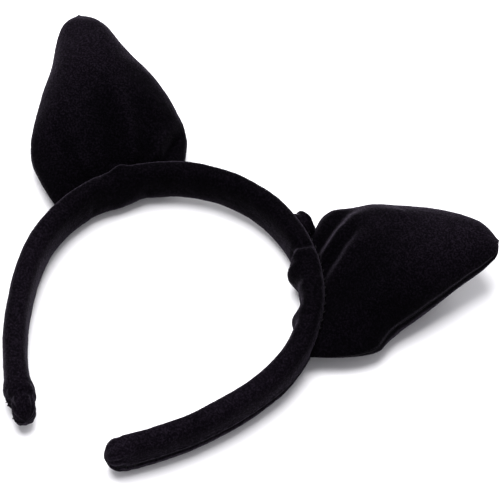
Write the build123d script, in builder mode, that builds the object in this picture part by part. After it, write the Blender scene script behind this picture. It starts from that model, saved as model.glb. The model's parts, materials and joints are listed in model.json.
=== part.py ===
"""A padded headband with two stuffed animal ears, in velour. Millimetres, +Z up.

The origin is the centre of the crown's arc at half the band's width. The hoop lies flat in the XY plane,
its crown towards +Y and its two arms reaching back towards -Y. Each ear stands on the band's outer face.
Every piece is modelled on the right side, +X, and mirrored for the left.
"""

import os
from math import cos, degrees, radians, sin

from build123d import *

# The hoop's centreline: a round crown that runs on into a straighter arc down each arm.
crown_radius = 65.4
crown_sweep = 106.0  # degrees, from the middle of the crown to the start of the arm's own arc
arm_radius = 142.0
arm_sweep = 31.0  # degrees

# The padded band.
band_thickness = 11.2
band_width = 21.0
band_edge_radius = 4.2
cloth = 1.2  # velour with its pile and backing
split_gap = 0.3  # between the two sides at the crown, where the hoop bends

# The springy strip inside the band.
core_thickness = 1.8
core_width = 10.0
core_end_setback = 8.0  # from the arm's end back to where the strip starts to round off

# Threads.
seam_height = -2.5  # the cover's seam on the outer face, from the band's middle
thread = 0.5
stitch_length = 2.6
stitch_proud = 0.6
hem_stitch_count = 13
end_stitch_count = 3
end_stitch_pitch = 4.0
end_stitch_arc = 50.0  # degrees round the arm's end

# The ears.
ear_angle = 53.0  # degrees, from the middle of the crown to the middle of the ear's base
ear_lean = 11.5  # degrees, the tip's lean back towards the crown
ear_rise = 14.5  # degrees, the tip's rise out of the hoop's plane
ear_height = 83.0  # from the line that the ear bends about to its tip
ear_crown_reach = 41.0
ear_arm_reach = 36.5
ear_depth = 14.4  # half of the ear's greatest thickness
ear_line_drop = 1.0  # how far the bending line lies under the hoop's mid plane
ear_nose = 7.0  # radius of the ear's rounded base, about the bending line
ear_clearance = 0.3  # between the rounded base and the band
ear_base_reach = 44.0  # half length of the room that the base may fill
ear_room_height = 60.0
hem_row_height = 6.4  # each row of hem stitches, above and below the bending line
hem_spread = 48.0  # degrees, the length of a row along the band

# Each section: share of the ear's height, then of its reach to the crown, reach to the arm, and depth.
# The blunt tip lies on the arm's side of the middle line, so its reach to the crown falls below nothing.
ear_sections = (
    (-0.24, 0.72, 0.84, 0.40),
    (-0.04, 0.88, 0.95, 0.43),
    (0.11, 1.00, 0.98, 0.82),
    (0.32, 0.87, 0.86, 1.00),
    (0.60, 0.54, 0.62, 0.76),
    (0.83, 0.21, 0.40, 0.50),
    (0.95, 0.04, 0.29, 0.28),
    (1.00, -0.04, 0.20, 0.14),
)

half_thickness = band_thickness / 2
outer_radius = crown_radius + half_thickness
padding_half = half_thickness - cloth
padding_width = band_width - 2 * cloth
padding_edge_radius = band_edge_radius - cloth


def heading(angle):
    """Outward unit direction in the hoop's plane, so many degrees from the crown towards the right arm."""
    return Vector(sin(radians(angle)), cos(radians(angle)), 0)


def along(angle):
    """Unit direction along the band there, from the crown towards the right arm."""
    return Vector(cos(radians(angle)), -sin(radians(angle)), 0)


arm_centre = heading(crown_sweep) * (crown_radius - arm_radius)
end_angle = crown_sweep + arm_sweep
arm_end = arm_centre + heading(end_angle) * arm_radius
core_sweep = arm_sweep - degrees(core_end_setback / arm_radius)
core_angle = crown_sweep + core_sweep
core_end = arm_centre + heading(core_angle) * arm_radius

line_point = heading(ear_angle) * (outer_radius + ear_nose) - Vector(0, 0, ear_line_drop)
lean_angle = ear_angle - ear_lean
ear_up = Vector(0, 0, 1) * cos(radians(ear_rise)) - heading(lean_angle) * sin(radians(ear_rise))
ear_axis = Vector(0, 0, 1) * sin(radians(ear_rise)) + heading(lean_angle) * cos(radians(ear_rise))
ear_plane = Plane(origin=line_point, x_dir=along(lean_angle) * -1, z_dir=ear_axis)
ear_middle = Plane(origin=line_point, x_dir=ear_axis, z_dir=ear_up)


def write_both_sides(piece, node):
    """Writes the right piece as it is, and its mirror image for the left side."""
    piece.label = f"right_{node}"
    export_step(piece, f"parts/right_{node}.step")
    with BuildPart() as left:
        mirror(piece, about=Plane.YZ)
    left.part.label = f"left_{node}"
    export_step(left.part, f"parts/left_{node}.step")


def side_outline(reach, sweep, round_end):
    """Closed plan outline of the right side, so far to each side of the hoop's centreline."""
    crown_out = JernArc((0, crown_radius + reach), (1, 0), crown_radius + reach, -crown_sweep)
    arm_out = JernArc(crown_out @ 1, crown_out % 1, arm_radius + reach, -sweep)
    if round_end:
        end = JernArc(arm_out @ 1, arm_out % 1, reach, -180)
    else:
        turn = crown_sweep + sweep
        end = Line(arm_out @ 1, (arm_out @ 1) - heading(turn) * 2 * reach)
    arm_in = JernArc(end @ 1, along(crown_sweep + sweep) * -1, arm_radius - reach, sweep)
    crown_in = JernArc(arm_in @ 1, arm_in % 1, crown_radius - reach, crown_sweep)
    Line(crown_in @ 1, crown_out @ 0)


def side_solid(reach, width, edge_radius):
    """One side of the band out to the given reach, cut off at the crown, with its long edges rounded."""
    with BuildPart() as solid:
        with BuildSketch(Plane.XY.offset(-width / 2)):
            with BuildLine():
                side_outline(reach, arm_sweep, True)
            make_face()
        extrude(amount=width)
        split(bisect_by=Plane.YZ.offset(split_gap / 2), keep=Keep.TOP)
        long_edges = solid.edges().filter_by(GeomType.CIRCLE)
        fillet(long_edges.group_by(Axis.Z)[0] + long_edges.group_by(Axis.Z)[-1], edge_radius)
    return solid.part


def ear_form(inset):
    """The whole ear, drawn in by so much all round: a loft whose base is rounded about the bending line."""
    with BuildPart() as room:
        with BuildSketch(Plane(origin=line_point, x_dir=along(ear_angle) * -1, z_dir=(0, 0, 1))):
            Rectangle(2 * ear_base_reach, 2 * ear_nose + ear_base_reach / 2, align=(Align.CENTER, Align.MIN))
            with Locations((0, outer_radius + ear_nose)):
                Circle(outer_radius + ear_clearance + inset, mode=Mode.SUBTRACT)
        revolve(axis=Axis(line_point, along(ear_angle)))
        front_plane = Plane(origin=line_point, x_dir=along(ear_angle) * -1, z_dir=heading(ear_angle))
        with BuildSketch(front_plane.offset(inset)):
            Rectangle(4 * ear_base_reach, ear_room_height)
        extrude(amount=2 * ear_height)
    with BuildPart() as form:
        for height, crown_share, arm_share, depth_share in ear_sections:
            to_crown = crown_share * ear_crown_reach
            to_arm = arm_share * ear_arm_reach
            half_reach = (to_crown + to_arm) / 2 - inset
            half_depth = depth_share * ear_depth - inset
            level = height * ear_height - inset * (height > 0)
            with BuildSketch(ear_plane.offset(level)):
                with Locations(((to_crown - to_arm) / 2, 0)):
                    Ellipse(half_reach, half_depth)
        loft()
        add(room.part, mode=Mode.INTERSECT)
    return form.part


os.makedirs("parts", exist_ok=True)

band_form = side_solid(half_thickness, band_width, band_edge_radius)
padding_form = side_solid(padding_half, padding_width, padding_edge_radius)

# The cover's seam: a thread sunk flush in the cover's outer face, from the crown to the arm's end.
with BuildPart() as cover_seam:
    with BuildSketch(Plane.XY.offset(seam_height - thread / 2)):
        with BuildLine():
            crown_line = JernArc((0, outer_radius), (1, 0), outer_radius, -crown_sweep)
            arm_line = JernArc(crown_line @ 1, crown_line % 1, arm_radius + half_thickness, -arm_sweep)
            tail = Line(arm_line @ 1, (arm_line @ 1) - heading(end_angle) * thread)
            arm_back = JernArc(tail @ 1, along(end_angle) * -1, arm_radius + half_thickness - thread, arm_sweep)
            crown_back = JernArc(arm_back @ 1, arm_back % 1, outer_radius - thread, crown_sweep)
            Line(crown_back @ 1, crown_line @ 0)
        make_face()
    extrude(amount=thread)
    split(bisect_by=Plane.YZ.offset(split_gap / 2), keep=Keep.TOP)
write_both_sides(cover_seam.part, "cover_seam")

# The velour cover: a tube round the padding, closed at the arm's end.
with BuildPart() as band_cover:
    add(band_form)
    add(padding_form, mode=Mode.SUBTRACT)
    add(cover_seam.part, mode=Mode.SUBTRACT)
write_both_sides(band_cover.part, "band_cover")

# The springy strip, with a rounded end, on the hoop's centreline.
with BuildPart() as hoop_core:
    with BuildSketch(Plane.XY.offset(-core_width / 2)):
        with BuildLine():
            side_outline(core_thickness / 2, core_sweep, False)
        make_face()
    extrude(amount=core_width)
    with Locations(Plane(origin=core_end, x_dir=along(core_angle), z_dir=heading(core_angle))):
        Cylinder(core_width / 2, core_thickness)
    split(bisect_by=Plane.YZ.offset(split_gap / 2), keep=Keep.TOP)
write_both_sides(hoop_core.part, "hoop_core")

# The head's side of the hoop's centreline, run on straight past the arm's end.
with BuildPart() as head_side:
    with BuildSketch(Plane.XY.offset(-band_width)):
        with BuildLine():
            crown_middle = JernArc((0, crown_radius), (1, 0), crown_radius, -crown_sweep)
            arm_middle = JernArc(crown_middle @ 1, crown_middle % 1, arm_radius, -arm_sweep)
            beyond = arm_end + along(end_angle) * band_thickness
            Polyline(arm_middle @ 1, beyond, (0, beyond.Y), (0, crown_radius))
        make_face()
    extrude(amount=2 * band_width)

# The two foam strips, which meet above and below the core.
with BuildPart() as inner_foam:
    add(padding_form)
    add(head_side.part, mode=Mode.INTERSECT)
    add(hoop_core.part, mode=Mode.SUBTRACT)
write_both_sides(inner_foam.part, "inner_foam")

with BuildPart() as outer_foam:
    add(padding_form)
    add(head_side.part, mode=Mode.SUBTRACT)
    add(hoop_core.part, mode=Mode.SUBTRACT)
write_both_sides(outer_foam.part, "outer_foam")

# The stitches that close the cover round the arm's end.
with BuildPart() as end_stitches:
    first = end_angle - end_stitch_arc / 2
    last = end_angle + end_stitch_arc / 2
    for row in range(end_stitch_count):
        level = (row - (end_stitch_count - 1) / 2) * end_stitch_pitch
        with BuildSketch(Plane.XY.offset(level - thread / 2)):
            with BuildLine():
                start = arm_end + along(first) * half_thickness
                inside = JernArc(start, heading(first) * -1, half_thickness, -end_stitch_arc)
                side = Line(inside @ 1, (inside @ 1) + along(last) * stitch_proud)
                outside = JernArc(side @ 1, heading(last), half_thickness + stitch_proud, end_stitch_arc)
                Line(outside @ 1, inside @ 0)
            make_face()
        extrude(amount=thread)
write_both_sides(end_stitches.part, "end_stitches")

# The ear: two velour panels round a stuffing, joined by a thread in the slot between their edges.
ear_outside = ear_form(0)
ear_inside = ear_form(cloth)

with BuildPart() as ear_front:
    add(ear_outside)
    add(ear_inside, mode=Mode.SUBTRACT)
    split(bisect_by=ear_middle.offset(thread / 2), keep=Keep.TOP)
write_both_sides(ear_front.part, "ear_front")

with BuildPart() as ear_back:
    add(ear_outside)
    add(ear_inside, mode=Mode.SUBTRACT)
    split(bisect_by=ear_middle.offset(-thread / 2), keep=Keep.BOTTOM)
write_both_sides(ear_back.part, "ear_back")

with BuildPart() as ear_stuffing:
    add(ear_inside)
write_both_sides(ear_stuffing.part, "ear_stuffing")

with BuildPart() as ear_seam:
    add(ear_outside)
    add(ear_form(cloth / 2), mode=Mode.SUBTRACT)
    split(bisect_by=ear_middle.offset(thread / 2), keep=Keep.BOTTOM)
    split(bisect_by=ear_middle.offset(-thread / 2), keep=Keep.TOP)
write_both_sides(ear_seam.part, "ear_seam")

# Two rows of hem stitches, which sew the ear's base to the band's outer face.
with BuildPart() as base_stitches:
    for row_height in (-hem_row_height, hem_row_height):
        with BuildSketch(Plane.XY.offset(row_height - ear_line_drop - thread / 2)) as row:
            for step in range(hem_stitch_count):
                turn = ear_angle + hem_spread * (step / (hem_stitch_count - 1) - 0.5)
                with Locations(Location(heading(turn) * outer_radius, (0, 0, -turn))):
                    Rectangle(stitch_length, 2 * stitch_proud)
            Circle(outer_radius, mode=Mode.SUBTRACT)
        extrude(amount=thread)
write_both_sides(base_stitches.part, "ear_base_stitches")
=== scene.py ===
import json
import math

import bpy
import numpy as np
from mathutils import Matrix, Vector, noise


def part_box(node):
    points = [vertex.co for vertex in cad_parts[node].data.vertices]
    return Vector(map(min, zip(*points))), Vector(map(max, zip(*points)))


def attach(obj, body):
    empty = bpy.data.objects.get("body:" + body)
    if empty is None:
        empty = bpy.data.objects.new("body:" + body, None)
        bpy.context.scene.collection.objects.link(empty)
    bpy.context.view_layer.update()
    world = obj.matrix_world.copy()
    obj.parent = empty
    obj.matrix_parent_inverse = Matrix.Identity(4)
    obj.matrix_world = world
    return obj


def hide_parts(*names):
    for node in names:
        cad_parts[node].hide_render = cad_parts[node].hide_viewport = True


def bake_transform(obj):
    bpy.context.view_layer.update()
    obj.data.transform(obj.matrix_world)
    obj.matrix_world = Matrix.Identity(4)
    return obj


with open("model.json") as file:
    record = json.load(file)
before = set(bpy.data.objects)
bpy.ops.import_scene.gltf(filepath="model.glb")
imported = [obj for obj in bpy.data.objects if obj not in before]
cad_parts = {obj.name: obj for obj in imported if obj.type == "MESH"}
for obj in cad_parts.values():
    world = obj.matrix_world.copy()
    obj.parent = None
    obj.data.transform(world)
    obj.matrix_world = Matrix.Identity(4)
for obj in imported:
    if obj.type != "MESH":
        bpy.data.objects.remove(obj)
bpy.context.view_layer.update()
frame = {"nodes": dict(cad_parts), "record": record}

# ------------------------------------------------------------------------------------------------
# The view: looking down on the headband as it lies, from the arms' open end and a little to the
# right, with a long lens.
MM = 0.001
view_turn = math.radians(30.75)
view_height = math.radians(55.3)
view_roll = math.radians(1.35)
view_distance = 1.2228
view_target = Vector((0.0164, 0.0438, -0.0019))

back = Vector((
    math.sin(view_turn) * math.cos(view_height),
    -math.cos(view_turn) * math.cos(view_height),
    math.sin(view_height),
))
level = Vector((math.cos(view_turn), math.sin(view_turn), 0))
upright = back.cross(level)
across = level * math.cos(view_roll) + upright * math.sin(view_roll)
upward = upright * math.cos(view_roll) - level * math.sin(view_roll)
lens_data = bpy.data.cameras.new("view")
lens_data.lens = 190.9
lens_data.sensor_width = 36
lens_data.clip_start = 0.05
lens_data.clip_end = 20
camera = bpy.data.objects.new("view", lens_data)
bpy.context.collection.objects.link(camera)
camera.matrix_world = Matrix((across, upward, back)).transposed().to_4x4()
camera.location = view_target + back * view_distance
bpy.context.scene.camera = camera

# ------------------------------------------------------------------------------------------------
# The table: a plain white sweep, lit evenly from above so that it burns out to white, with a softer
# light from behind that brushes the pile along the upper edges.
table_height = min(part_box("left_band_cover")[0][2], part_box("right_band_cover")[0][2])
table_size = 6.0


class Wire:
    """One output of a node tree, which can be added, multiplied and so on like a number."""

    def __init__(self, finish, socket):
        self.finish = finish
        self.socket = socket

    def _maths(self, operation, *values):
        return self.finish.node("ShaderNodeMath", {"operation": operation}, dict(enumerate(values)))

    def __add__(self, other):
        return self._maths("ADD", self, other)

    def __radd__(self, other):
        return self._maths("ADD", other, self)

    def __sub__(self, other):
        return self._maths("SUBTRACT", self, other)

    def __mul__(self, other):
        return self._maths("MULTIPLY", self, other)

    def __rmul__(self, other):
        return self._maths("MULTIPLY", other, self)


class Finish:
    """A material being built: its tree, its shader, and one way to add any node."""

    def __init__(self, name):
        self.material = bpy.data.materials.new(name)
        self.material.use_nodes = True
        self.tree = self.material.node_tree
        self.shader = self.tree.nodes["Principled BSDF"]

    def node(self, kind, settings, sockets, output=0):
        made = self.tree.nodes.new(kind)
        for name, value in settings.items():
            setattr(made, name, value)
        self.fill(made, sockets)
        return Wire(self, made.outputs[output])

    def fill(self, made, sockets):
        for name, value in sockets.items():
            if isinstance(value, Wire):
                self.tree.links.new(value.socket, made.inputs[name])
            else:
                made.inputs[name].default_value = value

    def cloud(self, scale, detail=2.0, rough=0.5):
        """Soft noise over the piece's own position, with scale lumps to the metre."""
        spot = self.node("ShaderNodeTexCoord", {}, {}, 3)
        return self.node(
            "ShaderNodeTexNoise", {},
            {"Vector": spot, "Scale": scale, "Detail": detail, "Roughness": rough},
        )

    def range(self, value, low, high, to_low=0.0, to_high=1.0):
        return self.node(
            "ShaderNodeMapRange", {"interpolation_type": "SMOOTHSTEP"},
            {"Value": value, "From Min": low, "From Max": high, "To Min": to_low, "To Max": to_high},
        )

    def blend_colours(self, amount, first, second):
        return self.node(
            "ShaderNodeMix", {"data_type": "RGBA"}, {"Factor": amount, 6: first, 7: second}, 2,
        )

    def bump(self, height, strength, distance, under=None):
        sockets = {"Height": height, "Strength": strength, "Distance": distance}
        if under is not None:
            sockets["Normal"] = under
        return self.node("ShaderNodeBump", {}, sockets)


def paper_finish():
    paper = Finish("white_sweep")
    grain = paper.cloud(60.0, 3.0)
    paper.fill(paper.shader, {
        "Base Color": paper.blend_colours(grain, (0.93, 0.92, 0.95, 1), (0.96, 0.955, 0.975, 1)),
        "Roughness": 0.85,
        "Specular IOR Level": 0.1,
    })
    return paper.material


table_mesh = bpy.data.meshes.new("table")
half = table_size / 2
corners = ((-half, -half), (half, -half), (half, half), (-half, half))
table_mesh.from_pydata([(*corner, table_height) for corner in corners], [], [(0, 1, 2, 3)])
table = bpy.data.objects.new("table", table_mesh)
bpy.context.collection.objects.link(table)
table_mesh.materials.append(paper_finish())

sky = bpy.data.worlds.new("white_room")
sky.use_nodes = True
sky.node_tree.nodes["Background"].inputs["Color"].default_value = (0.97, 0.965, 1.0, 1)
sky.node_tree.nodes["Background"].inputs["Strength"].default_value = 0.54
bpy.context.scene.world = sky
bpy.context.scene.view_settings.view_transform = "Standard"

# name, position, aim, width, power in watts
softboxes = (
    ("top_softbox", (-0.22, 0.16, 1.32), (0.0, 0.02, 0.0), 0.9, 30.0),
    ("rim_softbox", (-0.35, 1.25, 0.55), (0.0, 0.03, 0.0), 0.7, 8.0),
)
for name, spot, aim, width, power in softboxes:
    light = bpy.data.lights.new(name, "AREA")
    light.shape = "SQUARE"
    light.size = width
    light.energy = power
    box = bpy.data.objects.new(name, light)
    box.location = spot
    box.rotation_euler = (Vector(aim) - Vector(spot)).to_track_quat("-Z", "Y").to_euler()
    bpy.context.collection.objects.link(box)

# ------------------------------------------------------------------------------------------------
# The band's cover: one tube of black velour pulled over the foam-padded hoop. It bunches where the
# ears are sewn on, and is gathered and tucked in at both arm ends.
record = frame["record"]
joints = {joint["name"]: joint for joint in record["behaviour"]["joints"]}
mounts = {mount["name"]: mount for mount in record["mounts"]}
band_outer = joints["hoop_spread"]["pos_m"][1] / MM
band_inner = mounts["head_grip"]["dims"]["r_mm"]
crown_radius = (band_outer + band_inner) / 2
half_thick = (band_outer - band_inner) / 2
half_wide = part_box("left_band_cover")[1][2] / MM
crown_sweep = math.radians(106.0)
arm_radius = 142.0
arm_sweep = math.radians(31.0)
crown_run = crown_radius * crown_sweep
side_run = crown_run + arm_radius * arm_sweep
section_square = 2.75  # 2 would be an ellipse; more is squarer
ring_points = 64
ring_step = 1.25
crown_lift = 2.9  # the ears' fat backs hold the crown this far off the table


def lifted(points):
    """Tips the hoop up from its arm ends, which lie on the table, to its crown."""
    low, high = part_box("left_band_cover")[0][1] / MM, band_outer
    points[..., 2] += crown_lift * np.clip((points[..., 1] - low) / (high - low), 0, 1)
    return points


def hoop_path(run):
    """Centreline point and outward normal at signed distances from the crown, positive to the right."""
    side = np.where(run < 0, -1.0, 1.0)
    way = np.abs(run)
    on_crown = way < crown_run
    turn = np.where(on_crown, way / crown_radius, crown_sweep + (way - crown_run) / arm_radius)
    past = np.clip(way - side_run, 0, None)
    turn = np.minimum(turn, crown_sweep + arm_sweep)
    outward = np.stack([np.sin(turn), np.cos(turn)], -1)
    shift = (crown_radius - arm_radius) * np.array([math.sin(crown_sweep), math.cos(crown_sweep)])
    point = np.where(on_crown[:, None], outward * crown_radius, outward * arm_radius + shift)
    forward = np.stack([outward[:, 1], -outward[:, 0]], -1)
    point = point + forward * past[:, None]
    mirror = np.stack([side, np.ones_like(side)], -1)
    return point * mirror, outward * mirror


def section_ring(count, square):
    """Evenly spaced points round a rounded-rectangle section, starting on the outer face."""
    fine = np.linspace(0, 2 * math.pi, 4001)
    x = np.sign(np.cos(fine)) * np.abs(np.cos(fine)) ** (2 / square) * half_thick
    z = np.sign(np.sin(fine)) * np.abs(np.sin(fine)) ** (2 / square) * half_wide
    length = np.concatenate([[0], np.cumsum(np.hypot(np.diff(x), np.diff(z)))])
    even = np.linspace(0, length[-1], count, endpoint=False)
    return np.interp(even, length, x), np.interp(even, length, z)


def lumps(points, scale, seed):
    """Smooth noise from -1 to 1 at each point, in lumps about one scale across."""
    offset = Vector((seed * 17.3, seed * 5.1, seed * 9.7))
    return np.array([noise.noise(Vector(p) / scale + offset) for p in points])


def swell(value, middle, reach):
    """A smooth bump of height 1, zero beyond its reach."""
    t = np.clip(1 - np.abs(value - middle) / reach, 0, 1)
    return t * t * (3 - 2 * t)


def ease(value, start, end):
    t = np.clip((value - start) / (end - start), 0, 1)
    return t * t * (3 - 2 * t)


def mesh_object(name, points, faces, material):
    """A smooth-shaded mesh object from points in millimetres."""
    mesh = bpy.data.meshes.new(name)
    mesh.from_pydata([tuple(p) for p in np.asarray(points) * MM], [], faces)
    mesh.validate()
    mesh.materials.append(material)
    mesh.polygons.foreach_set("use_smooth", [True] * len(mesh.polygons))
    made = bpy.data.objects.new(name, mesh)
    bpy.context.collection.objects.link(made)
    return made


def tube_faces(rings, around):
    """Quads of a tube of rings, and a fan at each end round one extra point."""
    faces = []
    for r in range(rings - 1):
        for k in range(around):
            n = (k + 1) % around
            faces.append((r * around + k, r * around + n, (r + 1) * around + n, (r + 1) * around + k))
    first, last = rings * around, rings * around + 1
    top = (rings - 1) * around
    for k in range(around):
        n = (k + 1) % around
        faces.append((first, n, k))
        faces.append((last, top + k, top + n))
    return faces


def read_points(thing):
    flat = np.empty(len(thing.data.vertices) * 3)
    thing.data.vertices.foreach_get("co", flat)
    return flat.reshape(-1, 3) / MM


def write_points(thing, points):
    thing.data.vertices.foreach_set("co", (points * MM).ravel())
    thing.data.update()


def read_normals(thing):
    flat = np.empty(len(thing.data.vertices) * 3)
    thing.data.vertices.foreach_get("normal", flat)
    return flat.reshape(-1, 3)


def divide(thing, levels):
    """Subdivides a mesh for good."""
    modifier = thing.modifiers.new("divide", "SUBSURF")
    modifier.levels = levels
    modifier.render_levels = levels
    apply_all(thing)


def apply_all(thing):
    """Replaces the mesh by what its modifiers make of it, at the current frame."""
    settled = thing.evaluated_get(bpy.context.evaluated_depsgraph_get())
    mesh = bpy.data.meshes.new_from_object(settled)
    thing.modifiers.clear()
    thing.data = mesh


def paint_shading(thing, lie):
    """Stores painted light and shade at each point: 0 in painted shade and dark, 1 in painted light."""
    thing.data.attributes.new("lie", "FLOAT", "POINT").data.foreach_set("value", np.clip(lie, 0, 1))


def nap(thing, depth, seed):
    """Roughens a dense mesh by the pile's own height, in tufts and in softer patches."""
    points = read_points(thing)
    push = depth * lumps(points, 1.1, seed) + 0.6 * depth * lumps(points, 3.2, seed + 1)
    write_points(thing, points + read_normals(thing) * push[:, None])


def velour_finish(name):
    """Black velour: a short dense pile that swallows light head on and shines at a grazing angle."""
    pile = Finish(name)
    tuft = pile.cloud(1150.0, 2.0, 0.75)
    patch = pile.cloud(260.0, 3.0, 0.6)
    sweep = pile.cloud(38.0, 2.0, 0.5)
    # Painted light and shade: the stored shading, mixed with random patches and sweeps of the pile's own
    # tone, runs the colour from near black to dark purple.
    lie = pile.node("ShaderNodeAttribute", {"attribute_name": "lie"}, {}, 2)
    shading_and_mottle = pile.range(lie * 0.8 + patch * 0.35 + sweep * 0.35 - 0.25, 0.0, 1.0)
    ground = pile.blend_colours(shading_and_mottle, (0.0002, 0.0001, 0.0004, 1), (0.0019, 0.0012, 0.0025, 1))
    speck = pile.range(tuft, 0.42, 0.68)
    flecked = pile.blend_colours(speck * (0.15 + 0.85 * shading_and_mottle), ground, (0.0108, 0.0078, 0.0130, 1))
    # Painted sheen: the colour turns a lighter purple where the surface is seen at a grazing angle, most on
    # the tufts.
    turned = pile.node("ShaderNodeLayerWeight", {}, {"Blend": 0.30}, 1)
    edge = pile.range(turned, 0.25, 1.0)
    colour = pile.blend_colours(edge * (0.30 + 0.70 * speck), flecked, (0.060, 0.049, 0.070, 1))
    tufted = pile.bump(tuft, 0.8, 0.0006)
    draped = pile.bump(patch, 0.15, 0.0008, tufted)
    pile.fill(pile.shader, {
        "Base Color": colour,
        "Roughness": pile.range(shading_and_mottle, 0.0, 1.0, 0.97, 0.86),
        "Specular IOR Level": 0.02,
        "Sheen Weight": 0.013,
        "Sheen Roughness": 0.30,
        "Sheen Tint": (0.80, 0.70, 0.92, 1),
        "Normal": draped,
    })
    return pile.material


velour = velour_finish("black_velour")

# Where the cover bunches: side, degrees from the crown, reach in degrees, place round the section in
# degrees from the outer face, reach round it, and height.
bunches = (
    (1, 46.5, 8.5, 180.0, 80.0, 4.6),
    (1, 41.0, 3.2, 150.0, 60.0, 1.1),
    (1, 70.5, 5.5, 190.0, 75.0, 2.7),
    (1, 42.5, 2.6, 95.0, 65.0, 0.9),
    (1, 56.5, 5.0, 165.0, 50.0, 0.9),
    (-1, 55.0, 11.0, 200.0, 70.0, 1.9),
    (-1, 47.0, 5.0, 185.0, 60.0, 0.8),
    (-1, 52.0, 5.0, 60.0, 50.0, 1.9),
    (-1, 63.0, 6.0, 110.0, 50.0, 0.7),
    (-1, 166.0, 5.5, 0.0, 75.0, 1.6),
    (-1, 168.0, 7.0, 180.0, 65.0, 1.5),
)
# Creases of the same form, drawn in.
creases = (
    (1, 37.5, 2.4, 160.0, 90.0, 1.3),
    (1, 39.0, 1.9, 90.0, 70.0, 1.0),
    (1, 63.0, 3.0, 175.0, 70.0, 0.8),
    (1, 76.0, 2.4, 185.0, 70.0, 0.9),
    (-1, 42.0, 2.4, 190.0, 70.0, 0.8),
    (-1, 60.0, 2.6, 70.0, 50.0, 0.6),
    (-1, 68.0, 2.5, 190.0, 60.0, 0.6),
    (-1, 171.5, 2.6, 10.0, 65.0, 1.5),
)


round_end = 5.2  # over which both ends round off in thickness, and the left one in width
right_taper = 12.5  # over which the right end rounds off in width
stub_narrower = 0.20  # share of its width that the left end's stub loses
stub_thinner = 0.12  # share of its thickness that it loses


def fingertip(left_over, length):
    """From 0 at the very end to 1 at length from it, as a quarter circle."""
    return np.sqrt(np.clip(1 - (1 - np.clip(left_over / length, 0, 1)) ** 2, 0, 1))


def band_surface(run, across_x, across_z):
    """Points of the cover at each run (rows) and section point (columns), with bunches and gathers."""
    point, outward = hoop_path(run)
    rows, columns = len(run), len(across_x)
    around = np.degrees(np.arctan2(across_z / half_wide, across_x / half_thick)) % 360
    degrees_out = np.degrees(np.abs(run) / crown_radius)
    side = np.where(run < 0, -1, 1)
    grow = np.zeros((rows, columns))
    for sign, table_rows in ((1, bunches), (-1, creases)):
        for which, middle, reach, place, wide, high in table_rows:
            along_band = swell(degrees_out, middle, reach) * (side == which)
            gap = np.abs((around - place + 180) % 360 - 180)
            grow += sign * high * along_band[:, None] * swell(gap, 0, wide)[None, :]
    # Each end closes like a fingertip; the left one is tucked into a narrower stub.
    left_over = np.where(run < 0, left_last, right_last) + 0.1 - np.abs(run)
    closing = fingertip(left_over, round_end)
    stub = 1 - stub_narrower * (1 - ease(left_over, 9.0, 14.0)) * (side < 0)
    wide_scale = np.where(run < 0, closing, fingertip(left_over, right_taper)) * stub
    thick_scale = closing * (1 - stub_thinner * (1 - ease(left_over, 7.0, 13.0)) * (side < 0))
    length = np.hypot(across_x, across_z)
    x = across_x[None, :] * thick_scale[:, None] + grow * (across_x / length)[None, :]
    z = across_z[None, :] * wide_scale[:, None] + grow * (across_z / length)[None, :]
    ring = np.empty((rows, columns, 3))
    ring[:, :, :2] = point[:, None, :] + outward[:, None, :] * x[:, :, None]
    ring[:, :, 2] = z
    return lifted(ring)


left_last = side_run + 7.6  # the cover's length to each side of the crown, a little past the arm's arc
right_last = side_run + 2.9
cap_bulge = 0.12
run_values = np.linspace(-left_last, right_last, round((left_last + right_last) / ring_step) + 1)
section_x, section_z = section_ring(ring_points, section_square)
rings = band_surface(run_values, section_x, section_z)
end_point = hoop_path(np.array([-left_last - cap_bulge, right_last + cap_bulge]))[0]
caps = np.column_stack([end_point, [0.0, 0.0]])
cover_points = np.concatenate([rings.reshape(-1, 3), caps])
band_cover = mesh_object("band_cover", cover_points, tube_faces(len(run_values), ring_points), velour)

# The padding's own unevenness, the cover's slight bagging, and short gathers round both ends.
points = read_points(band_cover)
normals = read_normals(band_cover)
runs = np.concatenate([np.repeat(run_values, ring_points), [-left_last, right_last]])
rounds = np.concatenate([np.tile(np.arange(ring_points) / ring_points, len(run_values)), [0.0, 0.0]])
from_end = np.where(runs < 0, left_last, right_last) - np.abs(runs)
soft = 0.30 * lumps(points, 13.0, 3) + 0.14 * lumps(points, 5.0, 4)
gather_count = 11
gather_turn = rounds * 2 * math.pi * gather_count + 1.7 * lumps(points, 6.0, 5)
gathers = 0.42 * swell(from_end, 5.5, 6.5) * np.sin(gather_turn)
tuck_turn = from_end * 1.7 + 2.5 * lumps(points, 5.0, 6)
tucks = 0.50 * swell(from_end, 11.0, 7.5) * (runs < 0) * np.sin(tuck_turn)
faint_turn = from_end * 1.5 + 2.0 * lumps(points, 7.0, 8)
rows_of_tucks = 0.22 * swell(from_end, 9.0, 9.0) * (runs > 0) * np.sin(faint_turn)
ear_place, ear_reach = 53.0, 30.0  # degrees from the crown, over which the ear pulls the cover
near_ear = swell(np.degrees(np.abs(runs) / crown_radius), ear_place, ear_reach)
pulls = 0.30 * near_ear * lumps(points * np.array([1, 1, 0.45]), 4.0, 7)
seam_column = ring_points - 3  # the point of each ring that lies a little below the outer face's middle
columns = np.concatenate([np.tile(np.arange(ring_points), len(run_values)), [0, 0]])
groove = -0.60 * (columns == seam_column) - 0.20 * (np.abs(columns - seam_column) == 1)
beside = 0.18 * (np.abs(columns - seam_column) == 2) * (1 + np.sin(runs * 1.1))
points = points + normals * (soft + gathers + tucks + rows_of_tucks + pulls + groove + beside)[:, None]
points[:, 2] = np.maximum(points[:, 2], -half_wide)
write_points(band_cover, points)
cover_grid = points[:-2].reshape(len(run_values), ring_points, 3)
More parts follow.
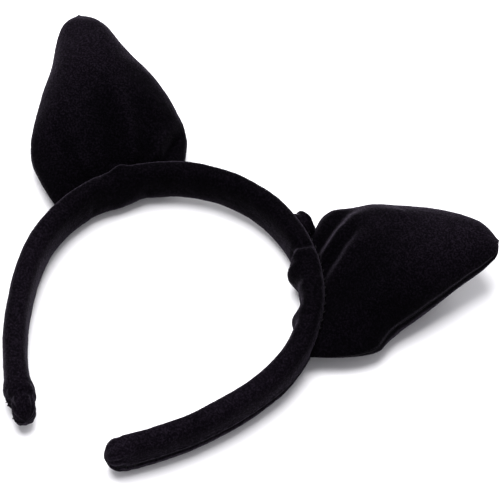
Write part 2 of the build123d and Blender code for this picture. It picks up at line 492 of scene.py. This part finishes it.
# Painted shading on the cover: darker at the crown and in the seam's groove, lighter along the arms, near the
# right end and over the padding's raised lumps.
arms = ease(np.degrees(np.abs(runs) / crown_radius), 60.0, 120.0)
ends = (1 - ease(from_end, 7.0, 15.0)) * (runs > 0)
paint_shading(band_cover, 0.12 + 0.46 * arms + 0.75 * ends + 0.30 * np.tanh(pulls + soft) + 0.9 * groove)
divide(band_cover, 1)
pile_depth = 0.10
nap(band_cover, pile_depth, 11)
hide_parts("left_band_cover", "right_band_cover",
            "left_inner_foam", "right_inner_foam", "left_outer_foam", "right_outer_foam")
band_outer * MM
band_outer * MM
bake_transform(band_cover)


def thread_finish():
    yarn = Finish("black_thread")
    twist = yarn.cloud(2600.0, 2.0)
    yarn.fill(yarn.shader, {
        "Base Color": yarn.blend_colours(twist, (0.0010, 0.0008, 0.0013, 1), (0.0050, 0.0042, 0.0058, 1)),
        "Roughness": yarn.range(twist, 0.3, 0.7, 0.70, 0.90),
        "Specular IOR Level": 0.08,
        "Normal": yarn.bump(twist, 0.4, 0.0002),
    })
    return yarn.material


thread = thread_finish()
thread_sides = 8
seam_thread = 0.34  # radius of a long seam's thread, and of the closing tucks' thread
tuck_thread = 0.30


def strands(name, lines, radius):
    """Round thread laid along each line of points, tapering to nothing at its two ends."""
    points, faces = [], []
    for line in lines:
        line = np.asarray(line, dtype=float)
        ahead = np.gradient(line, axis=0)
        ahead /= np.linalg.norm(ahead, axis=1)[:, None]
        aside = np.cross(ahead, np.array([0.13, 0.21, 0.97]))
        aside /= np.linalg.norm(aside, axis=1)[:, None]
        over = np.cross(ahead, aside)
        thick = np.full(len(line), radius)
        thick[[0, -1]] *= 0.35
        first = len(points)
        for p, a, o, r in zip(line, aside, over, thick):
            for k in range(thread_sides):
                turn = 2 * math.pi * k / thread_sides
                points.append(p + (a * math.cos(turn) + o * math.sin(turn)) * r)
        points.extend([line[0], line[-1]])
        faces.extend(tuple(first + v for v in face) for face in tube_faces(len(line), thread_sides))
    return mesh_object(name, points, faces, thread)


# The cover's seam: a line of stitches sunk in the pile along the outer face, a little below its
# middle. Three tucks of thread round each end hold the cover shut.
seam_line = cover_grid[:, seam_column]
cover_seam = strands("cover_seam", [seam_line[3:-3]], seam_thread)
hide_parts("left_cover_seam", "right_cover_seam")
band_outer * MM
band_outer * MM
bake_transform(cover_seam)
end_tucks = {"left": (5.0, 9.0, 13.0), "right": (4.5, 8.5, 12.5)}  # back from each arm's end
for name, backs in end_tucks.items():
    lines = []
    for back_by in backs:
        at = back_by - left_last if name == "left" else right_last - back_by
        row = np.argmin(np.abs(run_values - at))
        lines.append(cover_grid[row, seam_column - 3:seam_column + 3])
    tuck = strands(f"{name}_end_tucks", lines, tuck_thread)
    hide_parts(f"{name}_end_stitches")
    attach(tuck, f"{name}_side")

# ------------------------------------------------------------------------------------------------
# The ears: a front and a back panel of the same velour, sewn together up both sides and over the tip,
# turned and stuffed, with the open base gathered onto the band.
ear_lean = math.radians(11.5)
ear_rise = math.radians(14.5)
ear_middle_angle = math.radians(53.0)
ear_height = 83.0
ear_steps = 50
ear_around = 88
ear_fullness = 0.85  # 1 would be an ellipse; less is fuller
ear_crowding = 1.15  # 1 would space the rings evenly; more crowds them at the gathered base
sewn_spans = {-1: (27.5, 79.0), 1: (27.5, 84.5)}  # degrees from the crown
sewn_depth = 5.2  # half of the base's thickness on the band
sewn_sunk = 0.3  # how deep the sewn edge is pulled into the cover

# For each side, rows of: share of the height, reach towards the crown, reach towards the arm, and half
# thickness of the ear before it swells.
ear_shapes = {
    -1: np.array((
        (-0.02, 33.0, 34.0, 5.0),
        (0.04, 36.4, 36.4, 8.6),
        (0.14, 38.0, 36.8, 12.0),
        (0.32, 34.6, 33.2, 13.6),
        (0.50, 28.2, 27.4, 12.2),
        (0.66, 20.0, 21.8, 10.2),
        (0.80, 13.2, 18.0, 8.0),
        (0.90, 8.6, 15.0, 6.2),
        (0.95, 5.2, 12.4, 4.6),
        (0.98, 1.0, 9.0, 2.4),
    )),
    1: np.array((
        (-0.02, 33.0, 40.0, 5.0),
        (0.04, 38.6, 40.0, 9.6),
        (0.12, 39.8, 35.4, 12.6),
        (0.20, 38.0, 31.6, 13.8),
        (0.32, 34.6, 28.2, 14.2),
        (0.50, 27.4, 23.6, 12.8),
        (0.66, 19.8, 19.8, 10.4),
        (0.78, 12.8, 17.2, 8.2),
        (0.84, 8.0, 15.4, 6.8),
        (0.88, 3.2, 13.8, 5.2),
        (0.905, -2.0, 11.0, 2.6),
    )),
}
# Folds that fan out from the sewn base: side, face (1 front, -1 back), place across at the base and at
# the fold's end (-1 at the arm, 1 at the crown), share of the height where it ends, width, height.
folds = (
    (1, 1, 0.34, 0.62, 0.26, 0.075, 2.3),
    (1, 1, -0.02, 0.26, 0.27, 0.075, 1.9),
    (1, 1, 0.54, 0.80, 0.28, 0.14, -4.6),
    (1, 1, 0.16, 0.44, 0.27, 0.075, -2.6),
    (1, 1, -0.35, -0.20, 0.30, 0.12, -1.2),
    (1, 1, -0.62, -0.55, 0.24, 0.10, 0.8),
    (1, -1, 0.45, 0.60, 0.35, 0.12, -2.2),
    (1, -1, 0.15, 0.22, 0.30, 0.10, 1.4),
    (1, -1, -0.30, -0.30, 0.34, 0.12, -1.8),
    (-1, 1, 0.27, 0.24, 0.44, 0.042, 2.8),
    (-1, 1, 0.04, 0.02, 0.46, 0.12, -3.2),
    (-1, 1, 0.44, 0.46, 0.38, 0.09, -2.2),
    (-1, 1, 0.48, 0.88, 0.22, 0.055, 3.2),
    (-1, 1, 0.64, 0.99, 0.18, 0.060, -3.8),
    (-1, 1, -0.42, -0.60, 0.26, 0.070, -2.0),
    (-1, 1, -0.30, -0.42, 0.26, 0.070, 0.9),
    (-1, -1, 0.40, 0.50, 0.34, 0.12, -2.0),
    (-1, -1, -0.10, -0.05, 0.36, 0.10, 1.4),
    (-1, -1, -0.45, -0.50, 0.30, 0.12, -1.8),
)


def through(table_rows, column, at):
    """Smooth curve through the table's column, without overshoot."""
    x, y = table_rows[:, 0], table_rows[:, column]
    step = np.diff(x)
    slope = np.diff(y) / step
    tangent = np.zeros_like(y)
    tangent[0], tangent[-1] = slope[0], slope[-1]
    for i in range(1, len(y) - 1):
        if slope[i - 1] * slope[i] > 0:
            tangent[i] = 2 * slope[i - 1] * slope[i] / (slope[i - 1] + slope[i])
    k = np.clip(np.searchsorted(x, at) - 1, 0, len(step) - 1)
    t = (at - x[k]) / step[k]
    return (
        y[k] * (1 + 2 * t) * (1 - t) ** 2 + tangent[k] * step[k] * t * (1 - t) ** 2
        + y[k + 1] * t * t * (3 - 2 * t) + tangent[k + 1] * step[k] * t * t * (t - 1)
    )


ear_line = np.array(joints["right_ear_tilt"]["pos_m"]) / MM
ear_turn = ear_middle_angle - ear_lean
ear_out = np.array([math.sin(ear_turn), math.cos(ear_turn), 0])
ear_axis = ear_out * math.cos(ear_rise) + np.array([0, 0, 1]) * math.sin(ear_rise)
ear_up = np.array([0, 0, 1]) * math.cos(ear_rise) - ear_out * math.sin(ear_rise)
to_crown = np.array([-math.cos(ear_turn), math.sin(ear_turn), 0])
turns = np.arange(ear_around) / ear_around * 2 * math.pi


def ring_heights(side):
    """Share of the ear's height at each ring, closer together at the gathered base."""
    first, last = ear_shapes[side][[0, -1], 0]
    return first + (last - first) * np.linspace(0, 1, ear_steps) ** ear_crowding


def ear_rings(side, girth=1.0):
    """The ear's rings from its sewn base to its tip. girth widens the base, for the cloth's cut shape."""
    shape = ear_shapes[side]
    rings = np.empty((ear_steps, ear_around, 3))
    for i, height in enumerate(ring_heights(side)):
        at = np.array([height])
        crown_reach, arm_reach, depth = (through(shape, column, at)[0] for column in (1, 2, 3))
        wide = 1 + (girth - 1) * (1 - ease(height, 0.0, 0.45))
        across = (crown_reach - arm_reach) / 2 + (crown_reach + arm_reach) / 2 * np.cos(turns) * wide
        deep = depth * np.sign(np.sin(turns)) * np.abs(np.sin(turns)) ** ear_fullness * wide
        middle = ear_line + ear_axis * height * ear_height
        free = middle + np.outer(across, to_crown) + np.outer(deep, ear_up)
        first, last = np.radians(sewn_spans[side])
        angle = (first + last) / 2 - (last - first) / 2 * np.cos(turns)
        sewn = lifted(np.stack([
            (band_outer - sewn_sunk) * np.sin(angle), (band_outer - sewn_sunk) * np.cos(angle),
            ear_line[2] + sewn_depth * np.sin(turns),
        ], -1))
        hold = 1 - ease(height, -0.02, 0.10)
        rings[i] = free * (1 - hold) + sewn * hold
    rings[:, :, 0] *= side
    return rings


cloth_scale = 10.0  # the cloth is worked out at ten times its real size


def swell_as_cloth(thing, cut_points, pinned, pressure, growth, frames):
    """Lets a closed skin swell as stuffed cloth, cut to another shape and sewn to this one."""
    thing.shape_key_add(name="sewn", from_mix=False)
    cut = thing.shape_key_add(name="cut", from_mix=False)
    for i, p in enumerate(cut_points):
        cut.data[i].co = Vector(p) * MM * cloth_scale
    for i, p in enumerate(read_points(thing)):
        thing.data.shape_keys.key_blocks["sewn"].data[i].co = Vector(p) * MM * cloth_scale
    group = thing.vertex_groups.new(name="held")
    for i, weight in enumerate(pinned):
        if weight > 0:
            group.add([i], float(weight), "REPLACE")
    modifier = thing.modifiers.new("cloth", "CLOTH")
    cloth = modifier.settings
    cloth.quality = 6
    cloth.mass = 0.3
    cloth.tension_stiffness = 20
    cloth.compression_stiffness = 20
    cloth.shear_stiffness = 8
    cloth.bending_stiffness = 0.4
    cloth.tension_damping = 12
    cloth.compression_damping = 12
    cloth.air_damping = 4
    cloth.effector_weights.gravity = 0
    cloth.use_pressure = True
    cloth.uniform_pressure_force = pressure
    cloth.vertex_group_mass = "held"
    cloth.pin_stiffness = 1.0
    cloth.rest_shape_key = cut
    cloth.shrink_min = growth
    modifier.collision_settings.use_collision = False
    modifier.collision_settings.use_self_collision = False
    modifier.point_cache.frame_start = 1
    modifier.point_cache.frame_end = frames
    for f in range(1, frames + 1):
        bpy.context.scene.frame_set(f)
    settled = thing.evaluated_get(bpy.context.evaluated_depsgraph_get())
    flat = np.empty(len(settled.data.vertices) * 3)
    settled.data.vertices.foreach_get("co", flat)
    bpy.context.scene.frame_set(1)
    thing.modifiers.clear()
    thing.shape_key_clear()
    thing.vertex_groups.clear()
    return flat.reshape(-1, 3) / MM / cloth_scale


ear_cap = 6.0  # the farthest that a point of the ear may swell
cut_wider = 1.18  # how much wider the panels are cut at the base than they are sewn
stuffing_pressure = 2.6
cloth_growth = -0.01
cloth_frames = 26


height_kept = 0.6  # share of the way that each ring is drawn back to its own height


def fitted(side, swollen, cut_rings):
    """The swollen rings, eased back to the outline that the two panels were cut to."""
    mirror = np.array([side, 1, 1])
    grid = (swollen[:-2] * mirror - ear_line).reshape(ear_steps, ear_around, 3)
    plan = cut_rings * mirror - ear_line
    out = grid.copy()
    for i in range(2, ear_steps):
        is_at, was_at = grid[i] @ to_crown, plan[i] @ to_crown
        share = (is_at - is_at.min()) / (is_at.max() - is_at.min())
        wanted = was_at.min() + share * (was_at.max() - was_at.min())
        out[i] += np.outer(wanted - is_at, to_crown)
        out[i] += np.outer(height_kept * (plan[i] @ ear_axis - grid[i] @ ear_axis), ear_axis)
    fitted_points = (out.reshape(-1, 3) + ear_line) * mirror
    return np.concatenate([fitted_points, swollen[-2:]])


def base_faces():
    """Closes the ear's base with strips from its front edge to its back edge, which follow the band's arc."""
    centre = ear_steps * ear_around
    middle = ear_around // 4
    opposite = [(ear_around - k) % ear_around for k in range(ear_around)]
    faces = []
    for k in range(ear_around // 2):
        if k not in (middle - 1, middle):
            corners = (k + 1, k, opposite[k], opposite[k + 1])
            faces.append(tuple(dict.fromkeys(corners)))
    rim = (middle + 1, middle, middle - 1, opposite[middle - 1], opposite[middle], opposite[middle + 1])
    faces.extend((centre, rim[i], rim[(i + 1) % 6]) for i in range(6))
    return faces


def off_seam(turn):
    """Degrees round the ear from the nearer side seam."""
    return np.degrees(np.abs(np.arcsin(np.clip(np.sin(turn), -1, 1))))


evening_rounds = 26


def settled_seams(side, move):
    """Evens out the swelling along the side seams and at the tip, where doubled cloth can't buckle."""
    grid = move[:-2].reshape(ear_steps, ear_around, 3).copy()
    seam = 1 - ease(off_seam(turns), 20.0, 55.0)
    firm = np.maximum(seam[None, :], ease(ring_heights(side), 0.55, 0.78)[:, None])
    for _ in range(evening_rounds):
        even = grid.copy()
        even[2:-1] = (grid[1:-2] + grid[2:-1] * 2 + grid[3:]) / 4
        even = (np.roll(even, 1, 1) + even * 2 + np.roll(even, -1, 1)) / 4
        grid = grid + (even - grid) * firm[:, :, None]
    return np.concatenate([grid.reshape(-1, 3), move[-2:]])


def fold_push(side, turn, height):
    """How far each point of an ear moves out of its face for the folds."""
    across = np.cos(turn)
    push = np.zeros(len(turn))
    for which, face, start, end, stop, wide, high in folds:
        if which == side:
            middle = start + (end - start) * np.clip(height / stop, 0, 1.2)
            spread = wide * (0.65 + 0.9 * np.clip(height / stop, 0, 1.5))
            fade = ease(height, -0.01, 0.05) * (1 - ease(height, 0.45 * stop, 1.25 * stop))
            push += high * np.exp(-((across - middle) / spread) ** 2) * fade * (np.sin(turn) * face > 0.03)
    return push


tip_reach = 0.6  # how far the tip's point lies past the last ring, in steps between rings
seam_sunk = 0.8  # how deep the side seam is drawn in, and the cloth beside it
seam_shoulder = 0.3
corner_draw = 4.2  # how far the right ear's crown corner is drawn in
hem_stitches = 13  # in each of the hem's two rows
hem_reach = math.radians(24.0)  # to each side of the ear's middle
hem_slant = math.radians(1.1)
hem_thread = 0.26

for side, name in ((-1, "left"), (1, "right")):
    rings = ear_rings(side)
    base_centre = (rings[0][ear_around // 4] + rings[0][3 * ear_around // 4]) / 2
    tip = rings[-1].mean(0) + (rings[-1].mean(0) - rings[-2].mean(0)) * tip_reach
    skin = np.concatenate([rings.reshape(-1, 3), [base_centre, tip]])
    faces = [face for face in tube_faces(ear_steps, ear_around) if ear_steps * ear_around not in face]
    faces += base_faces()
    if side < 0:
        faces = [tuple(reversed(face)) for face in faces]
    ear = mesh_object(f"{name}_ear", skin, faces, velour)
    ring_of = np.concatenate([np.repeat(np.arange(ear_steps), ear_around), [0, ear_steps - 1]])
    turn_of = np.concatenate([np.tile(turns, ear_steps), [0.0, 0.0]])
    height_of = np.concatenate([ring_heights(side)[ring_of[:-2]], [0.0, 1.0]])
    cut = np.concatenate([ear_rings(side, cut_wider).reshape(-1, 3), [base_centre, tip]])
    held = np.where(ring_of < 2, 1.0, 0.0)
    swollen = swell_as_cloth(ear, cut, held, stuffing_pressure, cloth_growth, cloth_frames)
    move = settled_seams(side, fitted(side, swollen, rings) - skin)
    far = np.linalg.norm(move, axis=1)
    skin = skin + move * np.minimum(1, ear_cap / np.maximum(far, 1e-9))[:, None]
    skin[-1] = tip
    # Folds from the base, a soft unevenness of the stuffing, and the side seams drawn in and puckered.
    write_points(ear, skin)
    normals = read_normals(ear)
    facing = np.array([side, 1, 1]) * ear_up * np.sign(np.sin(turn_of))[:, None]
    skin = skin + facing * fold_push(side, turn_of, height_of)[:, None]
    from_seam = off_seam(turn_of)
    free_part = ease(height_of, 0.03, 0.12)
    beside_seam = (from_seam > 1) & (from_seam < 5)
    groove = -seam_sunk * free_part * (from_seam < 1) - seam_shoulder * free_part * beside_seam
    pucker = 0.20 * free_part * swell(from_seam, 10.0, 10.0) * lumps(skin, 3.4, 31)
    broad_slack = 0.40 * ease(height_of, 0.02, 0.2) * lumps(skin, 15.0, 32)
    slack = broad_slack + 0.15 * free_part * lumps(skin, 6.0, 33)
    skin = skin + normals * (groove + pucker + slack)[:, None]
    if side > 0:
        # The crown end of the right ear's base is drawn in tightly where its last corner is tucked back.
        at_corner = swell(np.abs((turn_of + math.pi) % (2 * math.pi) - math.pi), 0, 1.2)
        skin = skin - to_crown[None, :] * corner_draw * (swell(height_of, 0.040, 0.032) * at_corner)[:, None]
    skin[:, 2] = np.maximum(skin[:, 2], -half_wide)
    write_points(ear, skin)
    ear_grid = skin[:-2].reshape(ear_steps, ear_around, 3)
    # Painted light and shade: each ear lighter towards its tip and on its left, lighter on raised folds and
    # darker in the side seam's groove.
    painted_left_light = 0.22 * side * np.cos(turn_of) * ease(height_of, 0.0, 0.3)
    painted_tip_light = 0.05 + 0.56 * ease(height_of, 0.05, 0.85) + painted_left_light
    paint_shading(ear, painted_tip_light + 0.10 * fold_push(side, turn_of, height_of) + 0.5 * groove)
    divide(ear, 1)
    nap(ear, pile_depth, 21)
    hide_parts(f"{name}_ear_front", f"{name}_ear_back", f"{name}_ear_stuffing")
    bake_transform(ear)

    # The ear's side seam: one line of thread up the crown side, over the tip and down the arm side.
    over_tip = np.concatenate([ear_grid[4:, 0], [skin[-1]], ear_grid[:3:-1, ear_around // 2]])
    ear_seam = strands(f"{name}_ear_side_seam", [over_tip], seam_thread)
    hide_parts(f"{name}_ear_seam")
    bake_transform(ear_seam)

    # The hem: slanting whip stitches that catch the gathered base to the band's outer face, in a row
    # above and a row below.
    lines = []
    for face in (1, -1):
        for share in np.linspace(-0.9, 0.9, hem_stitches):
            angle = ear_middle_angle - hem_reach * share
            pick, catch = (
                np.array([out * math.sin(turned) * side, out * math.cos(turned), ear_line[2] + face * up])
                for out, turned, up in (
                    (band_outer - 0.55, angle + hem_slant, 6.5),
                    (band_outer + 0.5, angle - hem_slant, 5.3),
                )
            )
            lift = np.array([math.sin(angle) * side, math.cos(angle), face * 0.4])
            bow = (pick + catch) / 2 + lift * 0.2
            rise = (pick + bow) / 2 + (bow - pick) * 0.08
            lines.append(lifted(np.array([pick, rise, bow, (catch + bow) / 2, catch])))
    hem = strands(f"{name}_ear_hem", lines, hem_thread)
    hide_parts(f"{name}_ear_base_stitches")
    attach(hem, f"{name}_side")

# ------------------------------------------------------------------------------------------------
# The tuck: at the crown end of the right ear the last corner of the panels was left over, and is
# gathered into a soft knuckle and caught down against the band's back edge.
tuck_rings = 22
tuck_around = 32
tuck_long, tuck_deep, tuck_high = 6.4, 4.4, 5.6  # half of each size
tuck_angle = math.radians(26.3)
tuck_out = np.array([math.sin(tuck_angle), math.cos(tuck_angle), 0])
tuck_along = np.array([math.cos(tuck_angle), -math.sin(tuck_angle), 0])
tuck_centre = tuck_out * (band_outer + 1.6) + np.array([0, 0, ear_line[2] + 3.2])
rolls = np.arange(tuck_around) / tuck_around * 2 * math.pi
knuckle = []
for pitch in np.linspace(0.08, math.pi - 0.08, tuck_rings):
    knuckle.append(
        tuck_centre - tuck_along * tuck_long * math.cos(pitch)
        + math.sin(pitch)
        * (np.outer(np.cos(rolls), tuck_out) * tuck_deep + np.outer(np.sin(rolls), [0, 0, tuck_high]))
    )
tuck_ends = [tuck_centre - tuck_along * tuck_long, tuck_centre + tuck_along * tuck_long]
knuckle = np.concatenate(knuckle + [tuck_ends])
tuck_faces = [tuple(reversed(face)) for face in tube_faces(tuck_rings, tuck_around)]
tuck = mesh_object("right_ear_tuck", lifted(knuckle), tuck_faces, velour)
points = read_points(tuck)
roll_of = np.concatenate([np.tile(rolls, tuck_rings), [0.0, 0.0]])
drawn = 0.7 * np.sin(roll_of * 5 + 1.5 * lumps(points, 5.0, 41)) + 0.6 * lumps(points, 4.0, 42)
write_points(tuck, points + read_normals(tuck) * drawn[:, None])
# Painted shading: lighter on the knuckle's raised gathers, darker in the drawn-in ones.
paint_shading(tuck, 0.20 + 0.18 * drawn)
divide(tuck, 1)
nap(tuck, pile_depth, 43)
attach(tuck, "right_side")

# ------------------------------------------------------------------------------------------------
# Hidden inside: the springy strip of black plastic on which everything is built, held in the middle
# of the band by the foam glued to both of its faces.
strip = Finish("moulded_plastic")
strip.fill(strip.shader, {
    "Base Color": strip.blend_colours(strip.cloud(300.0), (0.012, 0.012, 0.013, 1), (0.020, 0.020, 0.021, 1)),
    "Roughness": strip.range(strip.cloud(900.0), 0.3, 0.7, 0.35, 0.5),
    "Normal": strip.bump(strip.cloud(2500.0), 0.1, 0.0001),
})
for side in ("left", "right"):
    node = frame["nodes"][f"{side}_hoop_core"]
    for slot_place in node.material_slots:
        slot_place.material = strip.material
